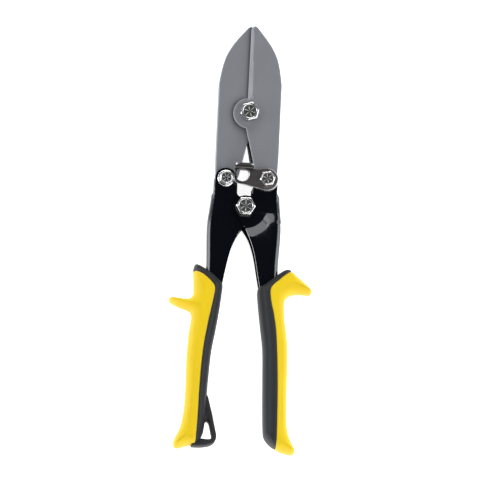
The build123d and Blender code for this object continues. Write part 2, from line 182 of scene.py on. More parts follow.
def add_panel(name, place, size, power, colour):
    """A rectangular soft light at place that faces the middle of the tool."""
    data = bpy.data.lights.new(name, "AREA")
    data.shape = "RECTANGLE"
    data.size, data.size_y = size
    data.energy = power
    data.color = colour
    panel = bpy.data.objects.new(name, data)
    bpy.context.collection.objects.link(panel)
    panel.location = place
    panel.rotation_mode = "QUATERNION"
    panel.rotation_quaternion = (AIM - Vector(place)).to_track_quat("-Z", "Y")
    return panel


def add_world():
    """A studio that is pale round the horizon and dark overhead: strength falls with height."""
    world = bpy.data.worlds.new("studio")
    bpy.context.scene.world = world
    world.use_nodes = True
    tree = world.node_tree
    place = tree.nodes.new("ShaderNodeTexCoord")
    split = tree.nodes.new("ShaderNodeSeparateXYZ")
    fall = tree.nodes.new("ShaderNodeMapRange")
    fall.interpolation_type = "SMOOTHSTEP"
    for index, value in enumerate((0.5, 0.93, HORIZON_STRENGTH, ZENITH_STRENGTH)):
        fall.inputs[index + 1].default_value = value
    tree.links.new(place.outputs["Generated"], split.inputs[0])
    tree.links.new(split.outputs["Z"], fall.inputs[0])
    tree.links.new(fall.outputs[0], tree.nodes["Background"].inputs["Strength"])
    tree.nodes["Background"].inputs["Color"].default_value = (0.9, 0.94, 1.0, 1)


floor = add_floor()
for name, place, size, power, colour in PANELS:
    add_panel(name, place, size, power, colour)
add_world()
bpy.context.scene.view_settings.view_transform = "Standard"

# %% [markdown]
# ## Writing shader maths as expressions
#
# A finish is easier to read as arithmetic than as a tangle of nodes. The small class below wraps
# one socket. Adding, multiplying or comparing two wrapped sockets adds the Math node that does
# it, and `node` makes any other node from its type, its settings and its inputs.

# %% A socket that can be used in expressions
class Field:
    """A number, vector or colour that varies over a surface."""

    def __init__(self, tree, socket):
        self.tree, self.socket = tree, socket

    def node(self, kind, settings=None, out=0, **inputs):
        """Add a node: its settings are set first, then its sockets are filled or linked."""
        made = self.tree.nodes.new(kind)
        for key, value in (settings or {}).items():
            if key == "stops":
                for index, (place, colour) in enumerate(value):
                    ramp = made.color_ramp.elements
                    stop = ramp[index] if index < 2 else ramp.new(place)
                    stop.position, stop.color = place, (*colour, 1) if len(colour) == 3 else colour
            else:
                setattr(made, key, value)
        for key, value in inputs.items():
            name = key.replace("_", " ").title() if not key.startswith("i") else int(key[1:])
            plug(self.tree, made.inputs[name], value)
        return Field(self.tree, made.outputs[out])

    def math(self, operation, *values, clamp=False):
        """One Math node on this field and up to two more values."""
        settings = {"operation": operation, "use_clamp": clamp}
        return self.node("ShaderNodeMath", settings, **{f"i{k}": v for k, v in enumerate(values)})

    def __add__(self, other):
        return self.math("ADD", self, other)

    def __radd__(self, other):
        return self.math("ADD", other, self)

    def __sub__(self, other):
        return self.math("SUBTRACT", self, other)

    def __rsub__(self, other):
        return self.math("SUBTRACT", other, self)

    def __mul__(self, other):
        return self.math("MULTIPLY", self, other)

    def __rmul__(self, other):
        return self.math("MULTIPLY", other, self)

    def __truediv__(self, other):
        return self.math("DIVIDE", self, other)

    def __pow__(self, other):
        return self.math("POWER", self, other)

    def absolute(self):
        """The field without its sign."""
        return self.math("ABSOLUTE", self)

    def clamped(self):
        """The field held between 0 and 1."""
        return self.math("ADD", self, 0.0, clamp=True)

    def step(self, low, high):
        """0 below low, 1 above high, and a smooth rise between them."""
        settings = {"interpolation_type": "SMOOTHSTEP"}
        return self.node("ShaderNodeMapRange", settings, i0=self, i1=low, i2=high, i3=0.0, i4=1.0)

    def blend(self, low, high):
        """A colour that goes from low to high as this field goes from 0 to 1."""
        return self.node("ShaderNodeMix", {"data_type": "RGBA"}, out=2, i0=self, i6=low, i7=high)


def plug(tree, socket, value):
    """Link a field to a socket, or set the socket's own value."""
    if isinstance(value, Field):
        tree.links.new(value.socket, socket)
        return
    is_colour = hasattr(socket.default_value, "__len__") and len(socket.default_value) == 4
    socket.default_value = (*value, 1) if is_colour and len(value) == 3 else value


class Finish:
    """A material in the making: its tree, its shader, and the patterns it can read."""

    def __init__(self, name, **constants):
        self.material = bpy.data.materials.new(name)
        self.material.use_nodes = True
        self.tree = self.material.node_tree
        self.shader = self.tree.nodes["Principled BSDF"]
        self.base = Field(self.tree, None)
        for key, value in constants.items():
            plug(self.tree, self.shader.inputs[key.replace("_", " ")], value)

    def place(self):
        """Where a point is on the tool, in metres."""
        return self.base.node("ShaderNodeTexCoord", out="Object")

    def axes(self):
        """The three coordinates of place, each as a field."""
        return [self.base.node("ShaderNodeSeparateXYZ", out=axis, i0=self.place()) for axis in "XYZ"]

    def noise(self, scale, detail=3.0, stretch=None, roughness=0.5):
        """Cloudy noise from 0 to 1, with about scale clouds in a metre; stretch squashes it."""
        where = self.place()
        if stretch:
            where = self.base.node("ShaderNodeMapping", i0=where, i3=stretch)
        return self.base.node("ShaderNodeTexNoise", i0=where, i2=scale, i3=detail, i4=roughness)

    def attribute(self, name):
        """A number stored on the mesh, such as how close a point is to an edge."""
        return self.base.node("ShaderNodeAttribute", {"attribute_name": name}, out="Fac")

    def bump(self, height, strength, distance):
        """Feed a height into the shader's normal."""
        bumped = self.base.node("ShaderNodeBump", Strength=strength, Distance=distance, Height=height)
        plug(self.tree, self.shader.inputs["Normal"], bumped)

    def set(self, **fields):
        """Link varying fields to the shader's sockets."""
        for key, value in fields.items():
            plug(self.tree, self.shader.inputs[key.replace("_", " ")], value)
        return self.material

# %% [markdown]
# ## Finishes
#
# Each finish has a base colour with slight clouds in it, a roughness that varies, and a fine
# bump. Edges carry a stored number which is 1 right on an edge and falls to 0 a millimetre or so
# inside it; it paints them lighter, partly for rubbing by hands and steel and partly as a painted
# highlight. Places where dirt gathers, such as the dish of a bolt head, carry one called `hollow`.

# %% Blade steel
EAR_MIDDLE = (EAR[0] * MM, EAR[1] * MM)
EAR_REACH = EAR_RADIUS * MM
SEAM_X = -0.00105
SEAM_SHADE_FADE = -750.0
NOTCH_HALF = 0.0062
NOTCH_TOP = 0.0075


def painted_seam_shade(f):
    """Painted shade: 1 beside the step between the front blades, fading over a millimetre and a half.

    The distance to the step is the smaller of |x - seam| above the ear and
    |distance to the ear's middle - ear radius|; the painted shade lies only on the lower, left front blade, next to the step where shade falls.
    """
    x, y, z = f.axes()
    below_ear_top = (EAR_MIDDLE[1] + EAR_REACH - y).step(0.0, 0.001)
    to_seam = (x - SEAM_X).absolute() + below_ear_top
    over = x - EAR_MIDDLE[0]
    down = y - EAR_MIDDLE[1]
    to_ear = ((over * over + down * down) ** 0.5) - EAR_REACH
    away = to_seam.math("MINIMUM", to_seam, to_ear.absolute())
    level = z - MIDDLE
    on_left = level.step(0.0033, 0.0034) * (1.0 - level.step(0.0036, 0.0037))
    faded = away * SEAM_SHADE_FADE
    return faded.math("EXPONENT", faded) * on_left


def painted_notch_shade(f):
    """Painted shade: 1 on steel in the notch between the two tails, where the lower blades lie in shade.

    The notch is |x| < NOTCH_HALF, and NOTCH_TOP or more below the ear's middle. It is painted black
    below the face of the front right blade, and on the left side below the front left blade.
    """
    x, y, z = f.axes()
    inside = 1.0 - x.absolute().step(NOTCH_HALF, NOTCH_HALF + 0.0002)
    below = (EAR_MIDDLE[1] - NOTCH_TOP - y).step(0.0, 0.002)
    deep = 1.0 - (z - MIDDLE).step(0.0053, 0.0058)
    right = x.step(-0.0004, 0.0004)
    left = (1.0 - right) * (1.0 - (z - MIDDLE).step(0.0014, 0.0016))
    return inside * below * deep * (right + left).clamped() * 0.96


def blade_steel():
    """Matte grey hardened steel: faint grinding lines, mottling, rims painted lighter (partly rubbing,
    partly painted highlight), and painted shade beside the step between the blades and in the notch.
    """
    f = Finish("blade_steel", Metallic=0.45)
    clouds = f.noise(55, 4, roughness=0.6)
    lines = f.noise(1400, 2, stretch=(1.0, 0.12, 1.0))
    speck = f.noise(3000, 2)
    rub = f.attribute("rub")
    shade = clouds * 0.4 + lines * 0.25 + speck * 0.35
    ground = shade.blend((0.205, 0.205, 0.218), (0.265, 0.265, 0.28))
    # Rims and ground slopes are painted lighter: partly steel laid open by rubbing, partly painted
    # highlight.
    bright_wear_and_sheen = (rub * (clouds * 0.9 + 0.35)).clamped()
    # Painted shade on the left front blade beside the step and the ear, mottled by the clouds.
    seam_shade = (painted_seam_shade(f) * (0.4 + clouds * 0.5)).clamped()
    colour = seam_shade.blend(bright_wear_and_sheen.blend(ground, (0.5, 0.5, 0.52)), (0.06, 0.058, 0.06))
    # Painted shade: the notch between the tails is painted near black.
    colour = painted_notch_shade(f).blend(colour, (0.012, 0.012, 0.013))
    f.bump(lines * 0.4 + speck * 0.6, 0.2, 0.00004)
    return f.set(Base_Color=colour, Roughness=0.52 - bright_wear_and_sheen * 0.2 + clouds * 0.1)


def handle_enamel():
    """Glossy blue-black enamel with a slight orange-peel ripple and grey where the edges chip."""
    f = Finish("handle_enamel", Coat_Weight=0.7, Coat_Roughness=0.05, Specular_IOR_Level=0.6)
    ripple = f.noise(420, 2)
    dust = f.noise(1500, 3)
    rub = f.attribute("rub")
    chips = (f.noise(700, 4) * 0.5 + rub * 0.75).step(0.86, 1.0)
    enamel = dust.blend((0.0012, 0.0016, 0.0032), (0.003, 0.0036, 0.006))
    colour = chips.blend(enamel, (0.1, 0.1, 0.11))
    f.bump(ripple, 0.12, 0.00008)
    return f.set(Base_Color=colour, Roughness=0.12 + dust * 0.08 + chips * 0.3)


def bright_nickel():
    """Bright nickel plate: mirror-like on the crowns, dulled in the hollows and dark with age there."""
    f = Finish("bright_nickel", Metallic=1.0)
    clouds = f.noise(600, 4)
    fine = f.noise(3200, 2)
    hollow = f.attribute("hollow")
    tarnish = (hollow * (0.75 + clouds * 0.4)).clamped()
    plate = clouds.blend((0.72, 0.71, 0.69), (0.86, 0.85, 0.83))
    colour = tarnish.blend(plate, (0.10, 0.095, 0.09))
    f.bump(fine, 0.15, 0.00003)
    return f.set(Base_Color=colour, Roughness=0.16 + clouds * 0.1 + tarnish * 0.3)


TAB_FOOT = 0.0104


def dark_nickel():
    """Smoky nickel plate on the latch, brushed along its length, with its rims painted bright, partly as
    polish and partly as a painted highlight.

    The tab, which stands TAB_FOOT above the middle plane, is painted near black as painted shade, except
    at its rims.
    """
    f = Finish("dark_nickel", Metallic=0.9)
    brush = f.noise(1200, 3, stretch=(0.06, 1.0, 1.0))
    clouds = f.noise(160, 3)
    rub = f.attribute("rub")
    bright_wear_and_sheen = (rub * (0.6 + clouds * 0.6)).clamped()
    ground = (brush * 0.6 + clouds * 0.4).blend((0.11, 0.098, 0.094), (0.21, 0.192, 0.187))
    z = f.axes()[2]
    # Painted shade: the upright tab is darkened to near black, for its face that lies in shade.
    painted_tab_shade = (z - MIDDLE - TAB_FOOT).step(0.0, 0.0008) * 0.85
    colour = bright_wear_and_sheen.blend(painted_tab_shade.blend(ground, (0.03, 0.027, 0.025)), (0.72, 0.71, 0.7))
    f.bump(brush, 0.3, 0.00004)
    return f.set(Base_Color=colour, Roughness=0.34 - bright_wear_and_sheen * 0.12 + brush * 0.1)


def zinc_steel():
    """Plain zinc plate on washers, spacers and the sleeve, with the crystal bloom of dipped zinc."""
    f = Finish("zinc_steel", Metallic=1.0)
    bloom = f.noise(900, 4)
    fine = f.noise(2500, 2)
    f.bump(fine, 0.2, 0.00003)
    colour = bloom.blend((0.38, 0.38, 0.37), (0.56, 0.56, 0.55))
    return f.set(Base_Color=colour, Roughness=0.3 + bloom * 0.2)


def spring_steel():
    """Oiled spring wire: dark, drawn along its length."""
    f = Finish("spring_steel", Metallic=1.0)
    drawn = f.noise(1800, 3)
    f.bump(drawn, 0.15, 0.00003)
    colour = drawn.blend((0.13, 0.12, 0.11), (0.24, 0.23, 0.22))
    return f.set(Base_Color=colour, Roughness=0.3 + drawn * 0.15)


def grip_yellow():
    """Yellow moulded grip: a satin skin with fine spark-eroded grain and a warmer tone in places."""
    f = Finish("grip_cover", Specular_IOR_Level=0.2)
    tone = f.noise(22, 3)
    grain = f.noise(2400, 3)
    smear = f.noise(130, 4)
    colour = tone.blend((0.80, 0.53, 0.006), (0.86, 0.61, 0.012))
    colour = smear.step(0.6, 0.9).blend(colour, (0.72, 0.48, 0.008))
    f.bump(grain, 0.35, 0.00008)
    return f.set(Base_Color=colour, Roughness=0.42 + grain * 0.14 + smear * 0.08)


def grip_charcoal():
    """Charcoal moulded grip, a little softer than the yellow, with the same fine grain."""
    f = Finish("grip_core", Specular_IOR_Level=0.3)
    tone = f.noise(40, 3)
    grain = f.noise(2600, 3)
    colour = tone.blend((0.017, 0.017, 0.018), (0.025, 0.025, 0.027))
    f.bump(grain, 0.4, 0.00008)
    return f.set(Base_Color=colour, Roughness=0.46 + grain * 0.16)


def floor_paper():
    """Nearly white backing paper with the faintest tooth."""
    f = Finish("floor_paper", Roughness=0.9, Emission_Color=(1.0, 1.0, 1.0), Emission_Strength=0.85)
    tooth = f.noise(700, 3)
    f.bump(tooth, 0.05, 0.0001)
    return f.set(Base_Color=tooth.blend((0.9, 0.9, 0.9), (0.93, 0.93, 0.93)))


finishes = {
    "blade_steel": blade_steel(),
    "handle_enamel": handle_enamel(),
    "bright_nickel": bright_nickel(),
    "dark_nickel": dark_nickel(),
    "zinc_steel": zinc_steel(),
    "spring_steel": spring_steel(),
    "grip_cover": grip_yellow(),
    "grip_core": grip_charcoal(),
}
floor.data.materials.append(floor_paper())
print("finishes:", list(finishes))

# %% Give every measured node its finish
for part in frame["record"]["subparts"]:
    node_mesh = nodes[part["node"]].data
    node_mesh.materials.clear()
    node_mesh.materials.append(finishes[part["material_slot"]])

# %% [markdown]
# ## Turning arrays of points into pieces
#
# Most pieces here are stacks of rings: each ring is a closed loop of points, and neighbouring
# rings are joined by four-sided faces. A ring stack may end in a flat face, or join back on
# itself like a washer. `skin` does the joining for every piece, and the rest of the file only
# works out where the rings lie.

# %% Skin a stack of rings
def skin(name, rings, finish, body, replaces=(), loop=False, rub=None, hollow=None):
    """Join rings of shape (rows, points, 3), in metres, into one closed smooth piece.

    Face k of a row joins points k and k + 1 of two neighbouring rings. With loop the last ring
    joins the first; otherwise each end is closed by one flat face.
    """
    rows, count = rings.shape[:2]
    mesh = bpy.data.meshes.new(name)
    ring_index = np.arange(rows if loop else rows - 1)
    a = ring_index[:, None] * count + np.arange(count)[None, :]
    b = ring_index[:, None] * count + (np.arange(count) + 1) % count
    up = ((ring_index + 1) % rows)[:, None] * count - ring_index[:, None] * count
    quads = np.stack([a, b, b + up, a + up], axis=-1).reshape(-1, 4)
    faces = quads.tolist()
    if not loop:
        faces.append(list(range(count))[::-1])
        faces.append(list(range((rows - 1) * count, rows * count)))
    mesh.from_pydata(rings.reshape(-1, 3).tolist(), [], faces)
    for label, values in (("rub", rub), ("hollow", hollow)):
        if values is not None:
            mesh.attributes.new(label, "FLOAT", "POINT").data.foreach_set("value", values.reshape(-1))
    mesh.validate()
    turn_faces_out(mesh)
    mesh.shade_smooth()
    mesh.materials.append(finishes[finish])
    piece = bpy.data.objects.new(name, mesh)
    bpy.context.collection.objects.link(piece)
    if body:
        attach(piece, body)
    if replaces:
        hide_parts(*replaces)
    print(f"{name}: {rows} rings of {count} points")
    return piece


def turn_faces_out(mesh):
    """Flip every face if the signed volume (sum of a . (b x c) / 6 over triangles) is negative."""
    mesh.calc_loop_triangles()
    corners = np.empty(len(mesh.loop_triangles) * 3, dtype=np.int32)
    mesh.loop_triangles.foreach_get("vertices", corners)
    points = np.empty(len(mesh.vertices) * 3)
    mesh.vertices.foreach_get("co", points)
    a, b, c = points.reshape(-1, 3)[corners.reshape(-1, 3)].transpose(1, 0, 2)
    if np.einsum("ij,ij->", a, np.cross(b, c)) < 0:
        mesh.flip_normals()


# %% [markdown]
# ## Smooth curves through a few points
#
# A moulded outline is given by the points where it turns. A Catmull-Rom curve goes through all of
# them: between two points it is a cubic whose slopes come from the neighbours. The result is
# sampled evenly, so that faces along it are of one size.

# %% Curves
def curve(points, step=0.7):
    """An open Catmull-Rom curve through points, resampled every step mm or a little less."""
    knots = np.asarray(points, float)
    before, after = 2 * knots[0] - knots[1], 2 * knots[-1] - knots[-2]
    p = np.vstack([before, knots, after])
    t = np.linspace(0, 1, 24, endpoint=False)[None, :, None]
    p0, p1, p2, p3 = (p[k:len(p) - 3 + k][:, None, :] for k in range(4))
    spans = 0.5 * (2 * p1 + (p2 - p0) * t + (2 * p0 - 5 * p1 + 4 * p2 - p3) * t**2
                   + (3 * p1 - p0 - 3 * p2 + p3) * t**3)
    return evenly(np.vstack([spans.reshape(-1, knots.shape[1]), knots[-1:]]), step)


def evenly(path, step):
    """The same path with its points an equal distance apart along it."""
    travel = np.concatenate([[0], np.cumsum(np.linalg.norm(np.diff(path, axis=0), axis=1))])
    marks = np.linspace(0, travel[-1], max(3, int(math.ceil(travel[-1] / step)) + 1))
    return np.stack([np.interp(marks, travel, path[:, k]) for k in range(path.shape[1])], axis=1)


def joined(*paths):
    """Paths end to end as one closed loop, each without its last point."""
    return np.vstack([path[:-1] for path in paths])


def arc(centre, radius, start, end, step=0.5):
    """Points on a circle from the start angle to the end angle, in degrees."""
    count = max(4, int(abs(math.radians(end - start)) * radius / step))
    angle = np.radians(np.linspace(start, end, count))
    return np.stack([centre[0] + radius * np.cos(angle), centre[1] + radius * np.sin(angle)], axis=1)


# %% [markdown]
# ## Plates and pads from an outline
#
# A blade, a grip or a tab is an outline with a rounded rim. Each ring is the outline moved
# inwards, but never past the middle: the furthest a point may move is the radius of the largest
# circle inside the outline that touches it there. The height over the middle plane is then a
# function of how far a point is from the rim.

# %% Outline to rounded solid
def room_inside(loop, inward):
    """Radius of the largest circle that touches each point and holds no other point of the loop.

    A circle through points P and Q that is tangent at P has radius |Q - P|^2 / (2 (Q - P) . n).
    """
    across = loop[None, :, :] - loop[:, None, :]
    squared = (across**2).sum(-1)
    ahead = np.einsum("ijk,ik->ij", across, inward)
    radius = np.where(ahead > 1e-6, squared / np.maximum(2 * ahead, 1e-9), 1e9)
    return radius.min(axis=1)


def inset_rings(loop, depths, reach):
    """The loop moved inwards by each depth, no further than a share of the room inside it."""
    along = np.roll(loop, -1, axis=0) - np.roll(loop, 1, axis=0)
    along /= np.linalg.norm(along, axis=1)[:, None]
    area = 0.5 * np.sum(loop[:, 0] * np.roll(loop[:, 1], -1) - np.roll(loop[:, 0], -1) * loop[:, 1])
    inward = np.stack([-along[:, 1], along[:, 0]], axis=1) * np.sign(area)
    room = room_inside(loop, inward)
    share = np.linspace(0, reach, len(depths))[:, None]
    moved = np.minimum(np.asarray(depths)[:, None], share * room[None, :])
    return loop[None] + inward[None] * moved[..., None], moved


def solid_from_outline(name, loop, depths, top, bottom, finish, body, replaces=(), rub=None, wall=3,
                       reach=0.94):
    """Rings climb from the middle of the bottom to its rim, up the wall, and over the top.

    top and bottom give the height in mm over a flat array of points; loop is in mm.
    """
    flat, moved = inset_rings(loop, depths, reach)
    high = top(flat, moved)
    low = bottom(flat, moved)
    over = np.concatenate([flat, high[..., None]], axis=-1)
    under = np.concatenate([flat, low[..., None]], axis=-1)[::-1]
    share = np.linspace(0, 1, wall + 2)[1:-1, None, None]
    side = under[-1][None] * (1 - share) + over[0][None] * share
    rings = np.concatenate([under, side, over], axis=0)
    wear_and_sheen_values = None
    if rub is not None:
        spread = np.concatenate([moved[::-1], np.zeros((wall, len(loop))), moved], axis=0)
        wear_and_sheen_values = rub(rings, spread)
    return skin(name, rings * MM, finish, body, replaces, rub=wear_and_sheen_values)


# %% [markdown]
# ## The grips
#
# Each grip is moulded in two shots: charcoal round the inner side and the collar, yellow on the
# outer side with the thumb stop. Both shots share one smooth outside, so the height comes from
# the distance to the outline of the whole grip, and a fine groove follows the line where they
# meet. Points are millimetres from the centre line and from the top of the grips.

# %% Grip outlines
core_low, core_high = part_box("left_grip_core")
GRIP_TOP = core_high.y / MM
GRIP_HALF = (core_high.z - core_low.z) / 2 / MM

LEFT_OUTER = [
    (-27.75, -4.3), (-27.4, -9.4), (-27.1, -14.2), (-27.1, -16.7), (-27.8, -18.7), (-29.0, -20.0),
    (-30.9, -20.6), (-34.6, -20.4), (-38.5, -20.05), (-40.3, -20.15), (-41.05, -21.1), (-40.3, -22.3),
    (-38.3, -23.6), (-34.4, -25.2), (-30.4, -26.4), (-28.7, -27.4), (-27.8, -29.2), (-27.7, -32.0),
    (-28.7, -40.3), (-29.2, -50.0), (-29.3, -60.0), (-29.1, -74.3), (-29.5, -85.0), (-31.1, -95.1),
    (-34.0, -102.0), (-34.8, -104.6), (-34.3, -106.9), (-32.6, -107.6), (-30.0, -107.0), (-26.4, -105.7),
    (-22.6, -105.2),
]
LEFT_INNER = [
    (-22.6, -105.2), (-20.3, -103.4), (-18.3, -99.0), (-17.2, -91.0), (-16.7, -74.5), (-16.2, -62.8),
    (-15.3, -50.3), (-13.5, -38.4), (-11.9, -26.5), (-10.8, -15.5), (-10.6, -12.2), (-11.1, -10.0),
    (-12.4, -8.5), (-17.5, -4.3), (-22.3, -1.5), (-24.8, -0.35), (-26.6, -0.02), (-27.5, -0.9),
    (-27.8, -2.4), (-27.75, -4.3),
]
LEFT_SEAM = [
    (-27.75, -4.3), (-25.2, -5.4), (-22.0, -7.2), (-19.6, -9.1), (-17.2, -11.3), (-15.9, -13.2),
    (-15.4, -15.0), (-15.8, -18.6), (-17.4, -27.9), (-18.9, -36.7), (-20.5, -47.9), (-21.4, -60.0),
    (-21.9, -74.0), (-22.1, -91.0), (-22.6, -105.2),
]
RIGHT_OUTER = [
    (29.1, -1.2), (32.5, -4.0), (36.1, -6.8), (39.0, -9.3), (40.6, -10.8), (41.05, -12.0), (40.6, -13.1),
    (39.4, -13.5), (36.4, -13.35), (33.4, -13.4), (30.5, -13.8), (28.2, -14.8), (26.5, -16.4),
    (25.6, -18.4), (25.4, -21.5), (25.9, -28.7), (27.3, -37.7), (28.4, -46.0), (28.9, -58.5),
    (29.0, -69.3), (29.3, -80.1), (29.8, -90.0), (31.0, -96.5), (32.9, -101.0), (34.9, -104.5),
    (35.3, -106.2), (34.6, -107.4), (33.2, -107.75), (31.1, -107.5), (27.7, -106.6), (24.1, -105.0),
]
RIGHT_INNER = [
    (24.1, -105.0), (20.7, -102.8), (18.3, -100.3), (16.9, -97.6), (16.3, -92.0), (15.7, -80.8),
    (15.0, -63.5), (14.2, -47.0), (12.5, -35.3), (10.8, -23.5), (9.9, -16.4), (9.75, -13.4),
    (10.1, -11.6), (11.2, -10.6), (13.0, -9.7), (17.2, -6.2), (20.9, -3.2), (24.3, -0.75),
    (26.3, -0.02), (27.9, -0.2), (29.1, -1.2),
]
RIGHT_SEAM = [
    (29.1, -1.2), (27.1, -2.9), (24.4, -4.9), (21.8, -7.4), (18.9, -10.0), (17.1, -12.3), (16.6, -15.0),
    (17.0, -18.6), (17.9, -23.1), (19.1, -27.8), (20.8, -37.2), (22.0, -50.0), (22.9, -64.0),
    (23.4, -75.0), (23.8, -90.0), (24.1, -105.0),
]
RIM_RADIUS = 7.0
SIDE_HALF = 1.6
RIM_POWER = 3
GROOVE_DEPTH = 0.45
GROOVE_WIDTH = 0.38
RING_DEPTHS = [0, 0.07, 0.2, 0.42, 0.75, 1.2, 1.8, 2.5, 3.3, 4.2, 5.1, 6.0, 6.8, 7.4]


def distance_to(path, points):
    """Distance from each point to the nearest of the path's straight pieces."""
    start, end = path[:-1], path[1:]
    along = end - start
    offset = points.reshape(-1, 1, 2) - start[None]
    share = np.clip((offset * along).sum(-1) / np.maximum((along**2).sum(-1), 1e-12), 0, 1)
    away = np.linalg.norm(offset - share[..., None] * along, axis=-1).min(axis=1)
    return away.reshape(points.shape[:-1])


def grip_height(whole, seam):
    """Half the thickness over a point: a round rim, a flat middle, and a groove along the seam.

    The rim is a blunt quarter round: side + (half - side) * sqrt(1 - (1 - d / radius)^power),
    where d is the distance to the outline.
    """
    closed = np.vstack([whole, whole[:1]])

    def height(points, moved):
        share = np.clip(distance_to(closed, points) / RIM_RADIUS, 0, 1)
        rise = SIDE_HALF + (GRIP_HALF - SIDE_HALF) * np.sqrt(1 - (1 - share) ** RIM_POWER)
        return rise - GROOVE_DEPTH * np.exp(-((distance_to(seam, points) / GROOVE_WIDTH) ** 2))

    return height


def add_grip(side, outer_points, inner_points, seam_points):
    """The charcoal core and the yellow cover of one grip."""
    shift = np.array([0, GRIP_TOP])
    outer, inner, seam = (curve(points) + shift for points in (outer_points, inner_points, seam_points))
    height = grip_height(joined(outer, inner), seam)
    shapes = {"cover": joined(outer, seam[::-1]), "core": joined(inner, seam)}
    for shot, loop in shapes.items():
        solid_from_outline(
            f"{side}_grip_{shot}_skin", loop, RING_DEPTHS,
            lambda points, moved: MIDDLE_MM + height(points, moved),
            lambda points, moved: MIDDLE_MM - height(points, moved),
            f"grip_{shot}", f"{side}_handle", [f"{side}_grip_{shot}"], wall=5,
        )


add_grip("left", LEFT_OUTER, LEFT_INNER, LEFT_SEAM)
add_grip("right", RIGHT_OUTER, RIGHT_INNER, RIGHT_SEAM)

# %% [markdown]
# ## The hanging eye
#
# The charcoal shot of the left grip grows a flat eye at its end. It is a band between two closed
# curves, the hole and the outside. Both are sampled at the same angles round the middle of the
# hole, so a point of the band is worked out from an angle and a share of the way across.

# %% Hanging eye
EYE_HALF = 4.5
EYE_POINTS = 220
EYE_BLUNTNESS = 5.0
EYE_OUTSIDE = [
    (-17.6, -76.0), (-16.2, -76.6), (-14.6, -82.2), (-13.1, -87.3), (-11.8, -92.9), (-10.7, -97.2),
    (-10.2, -100.2), (-10.6, -102.4), (-12.0, -104.2), (-14.5, -105.5), (-18.6, -106.3),
    (-22.0, -106.5), (-24.6, -106.2), (-23.6, -104.0), (-21.6, -98.0), (-19.6, -91.0),
    (-18.6, -84.0), (-17.6, -76.0),
]
EYE_HOLE = [
    (-16.3, -91.35), (-15.3, -91.9), (-14.6, -93.3), (-13.6, -97.4), (-12.95, -100.2), (-13.3, -101.4),
    (-14.5, -101.95), (-17.0, -101.9), (-19.3, -101.7), (-18.9, -100.8), (-18.0, -98.4), (-17.5, -94.6),
    (-17.2, -92.2), (-16.3, -91.35),
]


def at_angles(loop, centre, count):
    """Where rays from the centre, equally far apart in angle, leave the loop."""
    offset = loop - centre
    angle = np.unwrap(np.arctan2(offset[:, 1], offset[:, 0]))
    reach = np.linalg.norm(offset, axis=1)
    order = np.argsort(angle % (2 * math.pi))
    turned = (angle % (2 * math.pi))[order]
    reach = reach[order]
    wanted = np.linspace(0, 2 * math.pi, count, endpoint=False)
    found = np.interp(wanted, turned, reach, period=2 * math.pi)
    return centre + found[:, None] * np.stack([np.cos(wanted), np.sin(wanted)], axis=1)


def add_eye():
    """A band with rounded rims: height is half * (1 - |2 share - 1|^5)^(1/5) across the band."""
    shift = np.array([0, GRIP_TOP])
    centre = np.array([-15.9, -98.2]) + shift
    hole = at_angles(curve(EYE_HOLE, 0.15) + shift, centre, EYE_POINTS)
    outside = at_angles(curve(EYE_OUTSIDE, 0.15) + shift, centre, EYE_POINTS)
    share = 0.5 - 0.5 * np.cos(np.linspace(0, math.pi, 15))
    lift = EYE_HALF * (1 - np.abs(2 * share - 1) ** EYE_BLUNTNESS) ** (1 / EYE_BLUNTNESS)
    flat = hole[None] * (1 - share[:, None, None]) + outside[None] * share[:, None, None]
    lift = np.broadcast_to(lift[:, None, None], flat.shape[:2] + (1,))
    over = np.concatenate([flat, MIDDLE_MM + lift], -1)
    under = np.concatenate([flat, MIDDLE_MM - lift], -1)
    rings = np.concatenate([over, under[::-1][1:-1]], axis=0)
    return skin("left_grip_eye", rings * MM, "grip_core", "left_handle", loop=True)


add_eye()

# %% [markdown]
# ## The blades
#
# The five blades share one outline: a straight outer side, a rounded nose, a round ear about the
# jaw pivot and a round tail about the link pivot. Only the lip of the tail differs: it reaches
# further in on the four blades behind the front one. The left blades are mirror images. The rim
# is eased by a small round, and the two outermost right blades have their meeting edge ground off
# at a slope. The rims and those slopes are painted lighter, partly as uncoated steel and partly
# as a painted highlight.

# %% Blades
TAIL_RADIUS = 5.9
FRONT_LIP = 0.4
REAR_LIP = 1.6
HALF_WIDTH = 18.1
SHOULDER = TIP - 34.0
BLADE_HALF = 1.0
BLADE_EASE = 0.3
BEVEL_RUN = 2.8
BEVEL_DROP = 0.9
BLADE_DEPTHS = [0, 0.06, 0.14, 0.24, 0.4, 0.7, 1.1, 1.6, 2.2, 2.9, 3.7]
BLADES = [
    ("right_jaw_front_blade", 1, 5.0, 1, FRONT_LIP),
    ("left_jaw_front_blade", -1, 2.5, 0, REAR_LIP),
    ("right_jaw_middle_blade", 1, 0.0, 0, REAR_LIP),
    ("left_jaw_back_blade", -1, -2.5, 0, REAR_LIP),
    ("right_jaw_back_blade", 1, -5.0, -1, REAR_LIP),
]


